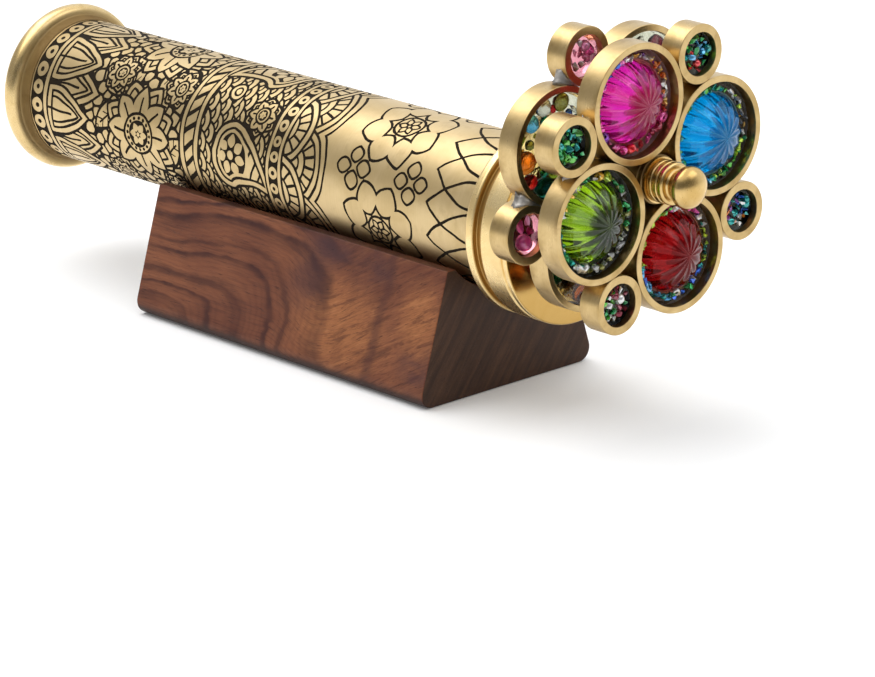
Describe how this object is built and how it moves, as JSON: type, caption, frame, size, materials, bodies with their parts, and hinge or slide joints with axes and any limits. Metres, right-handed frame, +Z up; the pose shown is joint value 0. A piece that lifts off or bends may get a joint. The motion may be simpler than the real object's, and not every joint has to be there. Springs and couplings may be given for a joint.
{
  "type": "kaleidoscope with object wheels",
  "caption": "Brass kaleidoscope tube with free-turning wheels of coloured glass cells at its front, an eyepiece at its back, and a wooden cradle stand that it lifts out of.",
  "frame": {"origin": "middle of the stand's underside, on the table", "axes": "+X along the tube towards the wheels, +Z up, +Y to the left of a viewer at the eyepiece"},
  "size_m": [0.2385, 0.0728, 0.0996],
  "materials": {
    "stand_wood": "oiled reddish-brown hardwood with dark figure",
    "tube_brass": "satin brass, etched pattern filled black",
    "turned_brass": "polished turned brass",
    "cap_brass": "turned brass, polished front plate",
    "axle_brass": "plain brass rod",
    "ring_brass": "satin brushed brass",
    "clear_glass": "clear polished glass",
    "mirror": "front-surface mirror",
    "mask_card": "matt black",
    "glass_pink": "fluted pressed glass, pink",
    "glass_blue": "fluted pressed glass, blue",
    "glass_red": "fluted pressed glass, red",
    "glass_green": "fluted pressed glass, green",
    "clear_resin": "clear cast resin",
    "bead_glass": "small coloured glass beads and chips",
    "solder": "dull grey solder"
  },
  "bodies": {
    "stand": {"stand": "stand_wood"},
    "scope": {"tube": "tube_brass", "eyepiece_cap": "turned_brass", "eye_lens": "clear_glass", "lens_retainer": "turned_brass", "mirror_mask_rear": "mask_card", "mirror_left": "mirror", "mirror_right": "mirror", "mirror_base": "mirror", "mirror_mask_front": "mask_card", "front_window": "clear_glass", "front_cap": "cap_brass", "axle": "axle_brass", "rear_washer": "turned_brass", "middle_washer": "turned_brass", "front_washer": "turned_brass", "finial": "turned_brass"},
    "rear_wheel": {"rear_hub": "ring_brass", "rear_ring_top": "ring_brass", "rear_ring_right": "ring_brass", "rear_ring_bottom": "ring_brass", "rear_ring_left": "ring_brass", "rear_resin_top": "clear_resin", "rear_resin_right": "clear_resin", "rear_resin_bottom": "clear_resin", "rear_resin_left": "clear_resin", "rear_small_ring_top": "ring_brass", "rear_small_ring_right": "ring_brass", "rear_small_ring_bottom": "ring_brass", "rear_small_ring_left": "ring_brass", "rear_small_resin": "clear_resin", "rear_beads": "bead_glass", "rear_small_beads": "bead_glass", "rear_solder": "solder"},
    "front_wheel": {"front_hub": "ring_brass", "front_ring_pink": "ring_brass", "front_ring_blue": "ring_brass", "front_ring_red": "ring_brass", "front_ring_green": "ring_brass", "front_dome_pink": "glass_pink", "front_dome_blue": "glass_blue", "front_dome_red": "glass_red", "front_dome_green": "glass_green", "front_resin_pink": "clear_resin", "front_resin_blue": "clear_resin", "front_resin_red": "clear_resin", "front_resin_green": "clear_resin", "front_small_ring_top": "ring_brass", "front_small_ring_right": "ring_brass", "front_small_ring_bottom": "ring_brass", "front_small_ring_left": "ring_brass", "front_small_resin": "clear_resin", "front_beads": "bead_glass", "front_small_beads": "bead_glass", "front_solder": "solder"}
  },
  "joints": [
    {"name": "lift_off_stand", "type": "slide", "parent": "stand", "child": "scope", "axis": [0, 0, 1], "range_m": [0, 0.08]},
    {"name": "rear_wheel_turn", "type": "hinge", "parent": "scope", "child": "rear_wheel", "pos_m": [0.087, 0, 0.0632], "axis": [1, 0, 0], "continuous": true},
    {"name": "front_wheel_turn", "type": "hinge", "parent": "scope", "child": "front_wheel", "pos_m": [0.101, 0, 0.0632], "axis": [1, 0, 0], "continuous": true}
  ]
}
